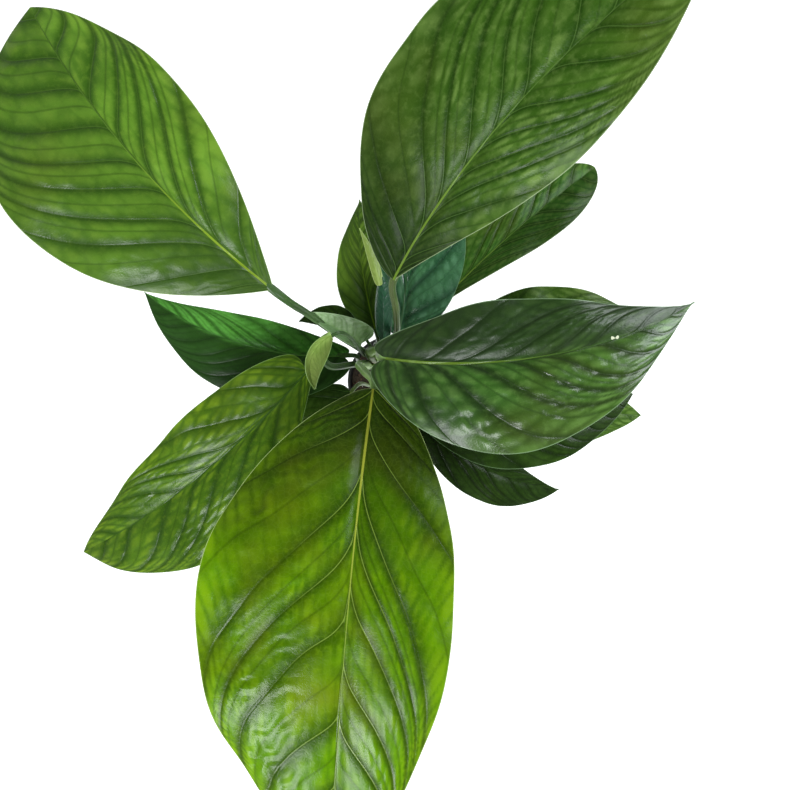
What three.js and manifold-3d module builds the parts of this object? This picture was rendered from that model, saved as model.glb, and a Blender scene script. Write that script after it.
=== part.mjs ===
// Potted aroid house plant: young Monstera pinnatipartita leaves on two stems in a plain nursery pot.
// Millimetres, +Z up. The origin is the middle of the pot's flat bottom.

import * as THREE from "three";
import { mergeVertices } from "three/addons/utils/BufferGeometryUtils.js";
import Module from "manifold-3d";

const wasm = await Module();
wasm.setup();

const { lerp, degToRad, clamp } = THREE.MathUtils;

// Pot: a thin tapered wall with a collar and a rolled rim, and drain holes near the edge of its floor.
const potHeight = 110;
const potFootRadius = 43;
const potShoulderRadius = 53.5;
const potShoulderHeight = 86;
const potCollarRadius = 57.5;
const potRimRadius = 60;
const potWall = 1.4;
const potFloor = 2;
const potSides = 36;
const drainHoles = 8;
const drainHoleRadius = 4.5;
const drainCircleRadius = 34;

// Soil: it fills the pot up to the collar, with a low uneven mound on top.
const gap = 0.3;
const soilHeight = 94;
const soilMound = 4;
const soilRings = 6;
const soilBump = 0.8;

// Stems: each axis runs from its foot in the soil up to its tip.
const stemSides = 10;
const stemSteps = 14;
const budLean = 12;
const stems = {
  main: {
    radius: 6,
    bud: 34,
    points: [
      [-4, 4, 45],
      [-6, 7, 140],
      [-12, 13, 240],
      [-19, 19, 345],
    ],
  },
  second: {
    radius: 4.5,
    bud: 24,
    points: [
      [18, 6, 50],
      [19, 8, 140],
      [20, 10, 245],
    ],
  },
};

// Leaves: blade thickness, the keel under the midrib and the half width left at both ends of a blade.
const bladeThickness = 0.9;
const keelDepth = [1.8, 0.3];
const baseHalfWidth = 1.6;
const tipHalfWidth = 0.8;
const petioleSides = 8;
const petioleOverlap = 0.07;
const petioleSink = 0.85;
const petioleRunUp = 2;
const stemHug = [-8, 6];
const petioleClearance = 0.5;
const lobeDecay = 9;
const lobeOnset = 60;
const lobeGain = 1.5;

// Colours
const deepGreen = 0x2f5a24;
const freshGreen = 0x5b8f1e;
const paleGreen = 0x8fb45a;
const oliveBrown = 0x6d6b35;
const stemGreen = 0x55702f;
const soilBrown = 0x2a1d14;
const potBlack = 0x1b1b1c;

// The pale wing of the sheath on the upper left petiole, a narrow blade whose tip runs into the petiole.
const sheathWing = {
  grid: [8, 2],
  joint: [-27, 27, 342],
  length: 75,
  halfWidths: [7, 20],
  heading: [154, 158],
  pitch: [57, 57],
  fold: [10, 35],
  curl: 20,
  fullness: [0.3, 0.3],
  taper: [0.8, 0.8],
  lobe: 0,
  wave: 0,
};

// The pale flap that the young leaf unrolls into.
const youngFlap = {
  grid: [8, 2],
  joint: [-10, 68, 386],
  length: 46,
  halfWidths: [4.5, 4.5],
  heading: [102, 118],
  pitch: [14, 10],
  fold: [-10, -10],
  curl: -30,
  fullness: [0.3, 0.3],
  taper: [0.9, 0.9],
  lobe: 0,
  wave: 0,
};

// One entry a leaf. joint is where the petiole meets the blade, heading turns from +X towards +Y,
// pitch is up from level, and a pair of angles runs from the base of the blade to its tip.
// halfWidths, fold, fullness and taper are pairs of left and right half, seen from base to tip.
const leaves = [
  {
    name: "leaf_front",
    colour: freshGreen,
    grid: [16, 3],
    joint: [-12, -14, 462],
    length: 280,
    halfWidths: [61, 88],
    heading: [-97, -92],
    pitch: [25, -8],
    fold: [12, 12],
    curl: -25,
    fullness: [0.66, 0.9],
    taper: [0.75, 1.05],
    lobe: 4,
    wave: 2.5,
    petiole: {
      stem: "main", height: 318, side: -125, width: 6,
      via: [[-26, 5, 395], [-19, -2, 435]],
      runUp: 0.8,
    },
  },
  {
    name: "leaf_upper_right",
    colour: deepGreen,
    grid: [16, 3],
    joint: [1, 63, 430],
    length: 242,
    halfWidths: [75, 46],
    heading: [58, 27],
    pitch: [42, 22],
    fold: [9, 10],
    curl: -20,
    fullness: [0.83, 1.2],
    taper: [1, 0.88],
    lobe: 3,
    wave: 2.5,
    petiole: {
      stem: "main", height: 296, side: 52, width: 5.5,
      via: [[-4, 28, 335], [3, 31, 362], [3, 47, 398]],
    },
  },
  {
    name: "leaf_upper_left",
    colour: deepGreen,
    grid: [16, 3],
    joint: [-79, 52, 450],
    length: 221,
    halfWidths: [80, 50],
    heading: [143, 118],
    pitch: [22, -5],
    fold: [11, 10],
    curl: -20,
    fullness: [1.1, 1],
    taper: [0.9, 0.8],
    lobe: 1,
    wave: 2.5,
    petiole: { stem: "main", height: 300, side: 152, width: 6, via: [[-47, 33, 362], [-64, 43, 410]] },
    wing: sheathWing,
  },
  {
    name: "leaf_right",
    colour: deepGreen,
    grid: [16, 3],
    joint: [-3.5, 3.5, 490],
    length: 188,
    halfWidths: [34, 51],
    heading: [-10, 30],
    pitch: [26, -20],
    fold: [9, 12],
    curl: -20,
    fullness: [0.85, 0.88],
    taper: [1.4, 1.5],
    lobe: 15,
    wave: 3,
    petiole: {
      stem: "main", height: 320, side: -48, width: 5.5,
      via: [[-8, 16, 400], [-5, 14, 460]],
      runUp: 0.8,
    },
  },
  {
    name: "leaf_lower_left",
    colour: deepGreen,
    grid: [16, 3],
    joint: [-65, 1, 395],
    length: 245,
    halfWidths: [58, 42],
    heading: [230, 206],
    pitch: [6, -19],
    fold: [15, 12],
    curl: -20,
    fullness: [1.15, 0.49],
    taper: [1, 0.87],
    lobe: 9,
    wave: 2.5,
    petiole: { stem: "main", height: 286, side: 200, width: 6, via: [[-37, 8, 345], [-50, 5, 378]] },
  },
  {
    name: "leaf_left",
    colour: deepGreen,
    grid: [12, 3],
    joint: [-44, 17, 330],
    length: 201,
    halfWidths: [46, 27],
    heading: [183, 141],
    pitch: [0, -10],
    fold: [10, 10],
    curl: -20,
    fullness: [0.7, 0.8],
    taper: [1.1, 1.2],
    lobe: 12,
    wave: 2,
    petiole: { stem: "main", height: 200, side: 190, width: 4.5, via: [[-33, 13, 285]] },
  },
  {
    name: "leaf_back",
    colour: deepGreen,
    grid: [12, 3],
    joint: [-16, 42, 312],
    length: 132,
    halfWidths: [25, 26],
    heading: [106, 88],
    pitch: [18, -30],
    fold: [12, 12],
    curl: -20,
    fullness: [0.77, 0.9],
    taper: [1.5, 1.1],
    lobe: 4,
    wave: 1.5,
    petiole: { stem: "main", height: 218, side: 98, width: 4, via: [[-15, 34, 280]] },
  },
  {
    name: "leaf_back_right",
    colour: deepGreen,
    grid: [12, 3],
    joint: [33, 55, 330],
    length: 200,
    halfWidths: [30, 27],
    heading: [46, 37],
    pitch: [10, -12],
    fold: [12, 12],
    curl: -20,
    fullness: [0.6, 1.4],
    taper: [0.6, 0.6],
    lobe: 4,
    wave: 1.5,
    petiole: { stem: "second", height: 205, side: 72, width: 4.5, via: [[29, 40, 290]] },
  },
  {
    name: "leaf_centre_back",
    colour: deepGreen,
    grid: [12, 3],
    joint: [6, 36, 330],
    length: 188,
    halfWidths: [27, 48],
    heading: [82, 85],
    pitch: [15, -20],
    fold: [12, 12],
    curl: -20,
    fullness: [0.6, 0.6],
    taper: [0.95, 0.95],
    lobe: 4,
    wave: 2,
    petiole: { stem: "second", height: 226, side: 125, width: 4.5, via: [[9, 26, 295]] },
  },
  {
    name: "leaf_right_lower",
    colour: deepGreen,
    grid: [12, 3],
    joint: [7, 1, 390],
    length: 192,
    halfWidths: [42, 62],
    heading: [-13, 2],
    pitch: [10, -20],
    fold: [12, 12],
    curl: -20,
    fullness: [0.6, 0.75],
    taper: [0.95, 0.95],
    lobe: 6,
    wave: 2,
    petiole: { stem: "second", height: 222, side: 200, width: 5, via: [[9, 5, 310]] },
  },
  {
    name: "leaf_lower_right",
    colour: deepGreen,
    grid: [12, 3],
    joint: [8, -27, 330],
    length: 186,
    halfWidths: [23, 31],
    heading: [-46, -10],
    pitch: [-3, -26],
    fold: [13, 8],
    curl: -20,
    fullness: [0.8, 1.3],
    taper: [1.35, 1.05],
    lobe: 4,
    wave: 1.5,
    petiole: { stem: "second", height: 190, side: -105, width: 4.5, via: [[12, -14, 270]] },
  },
  {
    name: "leaf_far_right",
    colour: deepGreen,
    grid: [12, 3],
    joint: [45, -15, 300],
    length: 208,
    halfWidths: [40, 44],
    heading: [-8, -5],
    pitch: [5, -20],
    fold: [12, 12],
    curl: -20,
    fullness: [0.6, 0.6],
    taper: [0.95, 0.95],
    lobe: 6,
    wave: 2,
    petiole: { stem: "second", height: 172, side: -42, width: 4.5, via: [[34, -7, 245]] },
  },
  {
    name: "leaf_right_back",
    colour: deepGreen,
    grid: [12, 3],
    joint: [70, 31, 310],
    length: 180,
    halfWidths: [43, 40],
    heading: [9, -3],
    pitch: [10, -15],
    fold: [12, 12],
    curl: -20,
    fullness: [0.6, 0.6],
    taper: [0.95, 0.95],
    lobe: 6,
    wave: 2,
    petiole: { stem: "second", height: 188, side: 18, width: 4.5, via: [[46, 20, 265]] },
  },
  {
    name: "leaf_small_left",
    colour: deepGreen,
    grid: [8, 2],
    joint: [-31, 37, 348],
    length: 52,
    halfWidths: [3, 17],
    heading: [162, 178],
    pitch: [4, -16],
    fold: [12, 12],
    curl: -20,
    fullness: [0.6, 0.6],
    taper: [0.95, 0.95],
    lobe: 0,
    wave: 0.8,
    petiole: { stem: "main", height: 296, side: 106, width: 3, via: [[-27, 37, 322]] },
  },
  {
    name: "leaf_under_front",
    colour: deepGreen,
    grid: [12, 3],
    joint: [-40, -15, 290],
    length: 150,
    halfWidths: [38, 40],
    heading: [232, 225],
    pitch: [5, -20],
    fold: [12, 12],
    curl: -20,
    fullness: [0.6, 0.6],
    taper: [0.95, 0.95],
    lobe: 4,
    wave: 1.5,
    petiole: { stem: "main", height: 165, side: -95, width: 4, via: [[-22, -8, 240]] },
  },
  {
    name: "young_leaf",
    colour: paleGreen,
    grid: [10, 3],
    joint: [-7, 25, 372],
    length: 52,
    halfWidths: [10.5, 10.5],
    heading: [90, 92],
    pitch: [20, 12],
    fold: [-15, -15],
    curl: -60,
    fullness: [0.35, 0.35],
    taper: [0.5, 0.5],
    lobe: 0,
    wave: 0,
    petiole: { stem: "main", height: 330, side: 70, width: 3.5, via: [[-12, 26, 350]] },
    wing: youngFlap,
  },
  {
    name: "curled_sheath",
    colour: oliveBrown,
    grid: [8, 3],
    joint: [-44, 25, 418],
    length: 46,
    halfWidths: [15, 7],
    heading: [205, 300],
    pitch: [5, -14],
    fold: [20, 50],
    curl: 35,
    fullness: [0.6, 0.6],
    taper: [0.9, 0.9],
    lobe: 0,
    wave: 0,
    petiole: { stem: "main", height: 334, side: 180, width: 3, via: [] },
  },
];

function vector([x, y, z]) {
  return new THREE.Vector3(x, y, z);
}

// A geometry as a manifold solid, and back.
function solidOf(geometry) {
  const bare = new THREE.BufferGeometry().setAttribute("position", geometry.getAttribute("position"));
  bare.setIndex(geometry.index);
  const merged = mergeVertices(bare, 1e-4);
  const triVerts = new Uint32Array(merged.index.array);
  const vertProperties = new Float32Array(merged.attributes.position.array);
  return new wasm.Manifold(new wasm.Mesh({ numProp: 3, vertProperties, triVerts }));
}

function geometryOf(solid) {
  const { vertProperties, triVerts } = solid.getMesh();
  const geometry = new THREE.BufferGeometry();
  geometry.setAttribute("position", new THREE.BufferAttribute(new Float32Array(vertProperties), 3));
  geometry.setIndex(new THREE.BufferAttribute(new Uint32Array(triVerts), 1));
  geometry.computeVertexNormals();
  return geometry;
}

function meshOf(name, geometry, colour, roughness) {
  const material = new THREE.MeshStandardMaterial({ color: colour, roughness, metalness: 0 });
  const mesh = new THREE.Mesh(geometry, material);
  mesh.name = name;
  return mesh;
}

// A round bar along a smooth curve through the points.
function bar(points, radius, sides, steps) {
  const section = new THREE.Shape();
  for (let side = 0; side < sides; side++) {
    const angle = (2 * Math.PI * side) / sides;
    const corner = [radius * Math.cos(angle), radius * Math.sin(angle)];
    if (side === 0) section.moveTo(...corner);
    else section.lineTo(...corner);
  }
  section.closePath();
  const extrudePath = new THREE.CatmullRomCurve3(points);
  return new THREE.ExtrudeGeometry(section, { steps, bevelEnabled: false, extrudePath });
}

// The width of one half of a blade at u, from 0 at its base to 1 at its tip, as a share of its widest.
function outline(u, fullness, taper) {
  const widest = fullness / (fullness + taper);
  const peak = widest ** fullness * (1 - widest) ** taper;
  return (u ** fullness * (1 - u) ** taper) / peak;
}

// The blade's own directions at u: along its midrib, to its left and up out of its face.
function directions(leaf, u) {
  const heading = degToRad(lerp(...leaf.heading, u));
  const pitch = degToRad(lerp(...leaf.pitch, u));
  const level = Math.cos(pitch);
  const along = new THREE.Vector3(level * Math.cos(heading), level * Math.sin(heading), Math.sin(pitch));
  const left = new THREE.Vector3(-Math.sin(heading), Math.cos(heading), 0);
  const up = new THREE.Vector3().crossVectors(along, left);
  return { along, left, up };
}

function midribPoint(leaf, u) {
  const steps = 40;
  const point = vector(leaf.joint);
  for (let step = 0; step < steps; step++) {
    const { along } = directions(leaf, (u * (step + 0.5)) / steps);
    point.addScaledVector(along, (leaf.length * u) / steps);
  }
  return point;
}

// A point of the blade's upper face. across runs from -1 on its right edge to 1 on its left edge.
function bladePoint(leaf, u, across) {
  const side = across >= 0 ? 0 : 1;
  const sign = side === 0 ? 1 : -1;
  const t = Math.abs(across);
  const share = outline(u, leaf.fullness[side], leaf.taper[side]);
  const least = lerp(baseHalfWidth, tipHalfWidth, u);
  const width = Math.max(leaf.halfWidths[side] * share, least);
  const fold = degToRad(leaf.fold[side]);
  const curl = degToRad(leaf.curl);
  const outward = (width * (Math.sin(fold + curl * t) - Math.sin(fold))) / curl;
  const rise = (width * (Math.cos(fold) - Math.cos(fold + curl * t))) / curl;
  const ripple = leaf.wave * share * t * t * Math.sin(2 * Math.PI * 3.5 * u + sign * 0.8);
  const lobeShare = Math.exp(-lobeDecay * u) - Math.exp(-lobeOnset * u);
  const back = leaf.lobe * lobeGain * lobeShare * t * t * (3 - 2 * t);
  const { along, left, up } = directions(leaf, u);
  return midribPoint(leaf, u)
    .addScaledVector(left, sign * outward)
    .addScaledVector(up, rise + ripple)
    .addScaledVector(along, -back);
}

// Rows of the blade lie closer together towards both of its ends.
function rowPlace(share) {
  return (share + (1 - Math.cos(Math.PI * share)) / 2) / 2;
}

// The blade: a grid of points and the same grid below it, with like triangles, closed round the edge.
function bladeGeometry(leaf) {
  const [rows, half] = leaf.grid;
  const columns = 2 * half;
  const grid = new THREE.PlaneGeometry(2, 1, columns, rows);
  const place = grid.getAttribute("position");
  const count = place.count;
  const positions = new Float32Array(count * 6);
  for (let i = 0; i < count; i++) {
    const u = rowPlace(clamp(place.getY(i) + 0.5, 0, 1));
    const across = -place.getX(i);
    const top = bladePoint(leaf, u, across);
    const { up } = directions(leaf, u);
    const keel = Math.abs(across) < 1e-6 ? lerp(...keelDepth, u) : 0;
    const bottom = top.clone().addScaledVector(up, -(bladeThickness + keel));
    positions.set(top.toArray(), i * 3);
    positions.set(bottom.toArray(), (count + i) * 3);
  }
  const index = [];
  const faces = grid.index.array;
  for (let i = 0; i < faces.length; i += 3) {
    const [a, b, c] = faces.subarray(i, i + 3);
    index.push(a, b, c, count + a, count + c, count + b);
  }
  const rim = [];
  for (let column = 0; column < columns; column++) rim.push(column);
  for (let row = 0; row < rows; row++) rim.push(row * (columns + 1) + columns);
  for (let column = columns; column > 0; column--) rim.push(rows * (columns + 1) + column);
  for (let row = rows; row > 0; row--) rim.push(row * (columns + 1));
  rim.forEach((a, i) => {
    const b = rim[(i + 1) % rim.length];
    index.push(a, b, count + b, a, count + b, count + a);
  });
  const geometry = new THREE.BufferGeometry();
  geometry.setAttribute("position", new THREE.BufferAttribute(positions, 3));
  geometry.setIndex(index);
  return geometry;
}

// The point of a stem's axis at a height.
function stemPoint(stem, height) {
  const curve = new THREE.CatmullRomCurve3(stem.points.map(vector));
  let low = 0;
  let high = 1;
  for (let i = 0; i < 30; i++) {
    const middle = (low + high) / 2;
    if (curve.getPoint(middle).z < height) low = middle;
    else high = middle;
  }
  return curve.getPoint(low);
}

// A petiole rises beside its stem, leaves it, and ends as the keel under the base of the blade.
function petioleGeometry(leaf) {
  const { stem: stemName, height, side, width, via, runUp = petioleRunUp } = leaf.petiole;
  const stem = stems[stemName];
  const radius = width / 2;
  const reach = stem.radius + radius + petioleClearance;
  const outward = new THREE.Vector3(Math.cos(degToRad(side)), Math.sin(degToRad(side)), 0);
  const foot = stemHug.map((rise) => stemPoint(stem, height + rise).addScaledVector(outward, reach));
  const start = directions(leaf, 0);
  const under = directions(leaf, petioleOverlap);
  const neck = vector(leaf.joint)
    .addScaledVector(start.along, -runUp * width)
    .addScaledVector(start.up, -radius * 1.3);
  const end = midribPoint(leaf, petioleOverlap).addScaledVector(under.up, -radius * petioleSink);
  const points = [...foot, ...via.map(vector), neck, end];
  const steps = 3 * points.length - 5;
  return bar(points, radius, petioleSides, steps);
}

function leafMesh(leaf) {
  let solid = solidOf(bladeGeometry(leaf)).add(solidOf(petioleGeometry(leaf)));
  if (leaf.wing) solid = solid.add(solidOf(bladeGeometry(leaf.wing)));
  return meshOf(leaf.name, geometryOf(solid), leaf.colour, 0.4);
}

function stemSolid(stem, extra) {
  return solidOf(bar(stem.points.map(vector), stem.radius + extra, stemSides, stemSteps));
}

// The growing tip of a stem: a slim pointed bud, its foot sunk in the stem.
function budSolid(stem) {
  const radius = stem.radius * 0.6;
  const profile = [
    [0, -radius * 1.7],
    [radius * 0.8, -radius * 1.4],
    [radius, stem.bud * 0.24],
    [radius * 0.7, stem.bud * 0.6],
    [0, stem.bud],
  ];
  const bud = new THREE.LatheGeometry(profile.map(([r, z]) => new THREE.Vector2(r, z)), stemSides);
  bud.rotateX(Math.PI / 2);
  bud.rotateY(degToRad(budLean));
  bud.translate(...stem.points.at(-1));
  return solidOf(bud);
}

function stemMesh(name, stem) {
  return meshOf(name, geometryOf(stemSolid(stem, 0).add(budSolid(stem))), stemGreen, 0.5);
}

function potMesh() {
  const inner = potWall;
  const profile = [
    [0, 0],
    [potFootRadius - 1.5, 0],
    [potFootRadius, 1.5],
    [potShoulderRadius, potShoulderHeight],
    [potCollarRadius, potShoulderHeight + 2],
    [potCollarRadius + 1, potHeight - 4],
    [potRimRadius, potHeight - 3],
    [potRimRadius, potHeight - 0.5],
    [potRimRadius - 0.5, potHeight],
    [potCollarRadius + 1 - inner, potHeight],
    [potCollarRadius - inner, potShoulderHeight + 3],
    [potShoulderRadius - inner, potShoulderHeight + 1],
    [potFootRadius - inner, potFloor],
    [0, potFloor],
  ];
  const lathe = new THREE.LatheGeometry(profile.map(([r, z]) => new THREE.Vector2(r, z)), potSides);
  lathe.rotateX(Math.PI / 2);
  let solid = solidOf(lathe);
  for (let hole = 0; hole < drainHoles; hole++) {
    const angle = (2 * Math.PI * (hole + 0.5)) / drainHoles;
    const drill = new THREE.CylinderGeometry(drainHoleRadius, drainHoleRadius, 3 * potFloor, 12);
    drill.rotateX(Math.PI / 2);
    drill.translate(drainCircleRadius * Math.cos(angle), drainCircleRadius * Math.sin(angle), potFloor / 2);
    solid = solid.subtract(solidOf(drill));
  }
  return meshOf("pot", geometryOf(solid), potBlack, 0.45);
}

function soilMesh() {
  const clear = potWall + gap;
  const edge = potCollarRadius - clear - 0.3;
  const profile = [
    new THREE.Vector2(0, potFloor + gap),
    new THREE.Vector2(potFootRadius - clear, potFloor + gap),
    new THREE.Vector2(potShoulderRadius - clear, potShoulderHeight + 1),
    new THREE.Vector2(edge, potShoulderHeight + 4),
  ];
  for (let ring = soilRings; ring >= 0; ring--) {
    const share = ring / soilRings;
    profile.push(new THREE.Vector2(edge * share, soilHeight + soilMound * (1 - share * share)));
  }
  const lathe = new THREE.LatheGeometry(profile, potSides - 8);
  const place = lathe.getAttribute("position");
  for (let i = 0; i < place.count; i++) {
    const [x, y, z] = [place.getX(i), place.getY(i), place.getZ(i)];
    const radius = Math.hypot(x, z);
    if (y < soilHeight - 0.1 || radius < 1) continue;
    const bump = Math.sin(0.31 * x + 1.3) * Math.sin(0.27 * z + 0.4) + 0.6 * Math.sin(0.53 * x - 0.47 * z);
    place.setY(i, y + soilBump * bump);
  }
  lathe.rotateX(Math.PI / 2);
  let solid = solidOf(lathe);
  for (const stem of Object.values(stems)) {
    solid = solid.subtract(stemSolid({ ...stem, points: holeAxis(stem) }, gap));
  }
  return meshOf("soil", geometryOf(solid), soilBrown, 0.95);
}

// The axis of a stem's hole in the soil runs a little below the stem's foot.
function holeAxis(stem) {
  const [[x, y, z], ...rest] = stem.points;
  return [[x, y, z - 2 * gap], ...rest];
}

const plant = new THREE.Group();
plant.name = "potted_monstera";
plant.add(potMesh(), soilMesh());
for (const [name, stem] of Object.entries(stems)) plant.add(stemMesh(`stem_${name}`, stem));
for (const leaf of leaves) plant.add(leafMesh(leaf));

export default plant;
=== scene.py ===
"""Looks of a potted aroid house plant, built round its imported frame.

Lengths are in millimetres until a mesh is made. The tables give angles in degrees.
"""

import math
from itertools import combinations
from types import SimpleNamespace

import bpy
import numpy as np
from mathutils import Matrix


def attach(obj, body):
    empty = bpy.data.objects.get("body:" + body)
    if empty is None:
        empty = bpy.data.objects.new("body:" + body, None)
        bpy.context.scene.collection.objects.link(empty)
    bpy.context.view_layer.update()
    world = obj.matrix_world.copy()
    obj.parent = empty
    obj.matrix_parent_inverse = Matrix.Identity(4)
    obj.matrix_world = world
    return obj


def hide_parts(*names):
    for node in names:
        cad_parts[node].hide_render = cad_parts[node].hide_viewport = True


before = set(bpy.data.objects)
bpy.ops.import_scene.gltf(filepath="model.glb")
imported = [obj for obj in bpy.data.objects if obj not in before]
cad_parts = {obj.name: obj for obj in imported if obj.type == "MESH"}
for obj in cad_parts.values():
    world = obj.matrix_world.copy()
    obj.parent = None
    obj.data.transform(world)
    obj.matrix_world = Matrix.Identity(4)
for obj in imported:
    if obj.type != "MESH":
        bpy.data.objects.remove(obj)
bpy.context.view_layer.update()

MM = 0.001

# Sizes that the looks share with the solids
BLADE_THICKNESS = 0.8
BASE_HALF_WIDTH = 1.6
TIP_HALF_WIDTH = 0.5
LOBE_DECAY = 9
LOBE_ONSET = 60
LOBE_GAIN = 1.5
EDGE_WAVES = 3.5
EDGE_WAVE_LAG = 0.8
PETIOLE_OVERLAP = 0.07
PETIOLE_SINK = 0.85
STEM_HUG = (-8, 6)
PETIOLE_CLEARANCE = 0.5
NODE_DROP = 17
POT_HEIGHT = 110
POT_FOOT_RADIUS = 43
POT_SHOULDER_RADIUS = 53.5
POT_SHOULDER_HEIGHT = 86
POT_COLLAR_RADIUS = 57.5
POT_RIM_RADIUS = 60
POT_WALL = 1.4
POT_FLOOR = 2
DRAIN_HOLES = 8
DRAIN_HOLE_RADIUS = 4.5
DRAIN_CIRCLE_RADIUS = 34
SOIL_HEIGHT = 94
SOIL_MOUND = 4
GAP = 0.3
SOIL_EDGE = POT_COLLAR_RADIUS - POT_WALL - GAP - 0.3

STEMS = {
    "main": dict(radius=6, bud=34, points=((-4, 4, 45), (-6, 7, 140), (-12, 13, 240), (-19, 19, 345))),
    "second": dict(radius=4.5, bud=24, points=((18, 6, 50), (19, 8, 140), (20, 10, 245))),
}
BUD_LEAN = math.radians(12)

# Rings and sides of the round forms. Turned forms are closed flat within CENTRE_RADIUS of their axis.
PETIOLE_RINGS, PETIOLE_SIDES = 90, 20
STEM_RINGS, STEM_SIDES = 150, 28
BUD_RINGS, BUD_START = 26, 0.03
POT_SIDES, DRAIN_SIDES = 144, 24
SOIL_RINGS, SOIL_SIDES = 60, 180
CENTRE_RADIUS = 0.5

# A stalk's channel and the lips beside it, in radians round the stalk
CHANNEL_WIDTH = 0.42
LIP_PLACE = 0.85
LIP_WIDTH = 0.28
LIP_HEIGHT = 0.35

# Blades: the thin rim, the keel and veins below, the dips over the side veins and over the faint lines
# between them, and the sunk midrib. A pair runs from the base of the blade to its tip.
RIM_THICKNESS = 0.35
RIM_REACH = 4
KEEL_WIDTH = (3.4, 0.9)
KEEL_DEPTH = (2.6, 0.5)
UNDER_VEIN_HEIGHT = 0.35
UNDER_VEIN_WIDTH = 0.7
CREASE_WIDTH = 1.8
BETWEEN_WIDTH = 1.6
VALLEY_DEPTH = 1.3
VALLEY_WIDTH = 4
RIB_WIDTH = (1.8, 0.8)

# Ripples that cross the side veins at a slant: their steps from vein to vein and for each millimetre outward
RIPPLE_CROSS = 35
RIPPLE_ALONG = 0.28

# Rows and columns of the blade grids
LARGE = (200, 104)
MIDDLE = (120, 64)
SMALL = (60, 32)

# What every blade has unless its own entry says otherwise, and what the small plain blades have
PLAIN = dict(
    fold=12, curl=-20, fullness=0.6, taper=0.95, lobe=4, wave=2, laterals=7.5, between=0.1, sweep=0.36,
    quilt=0.4, blister=0.25, cell=8, columns=2, ripple=0.06, scars=(), grid=MIDDLE, look="dark", via=(),
    run_up=2,
)
BARE = dict(lobe=0, wave=0, grid=SMALL, quilt=0.05, blister=0)

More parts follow.
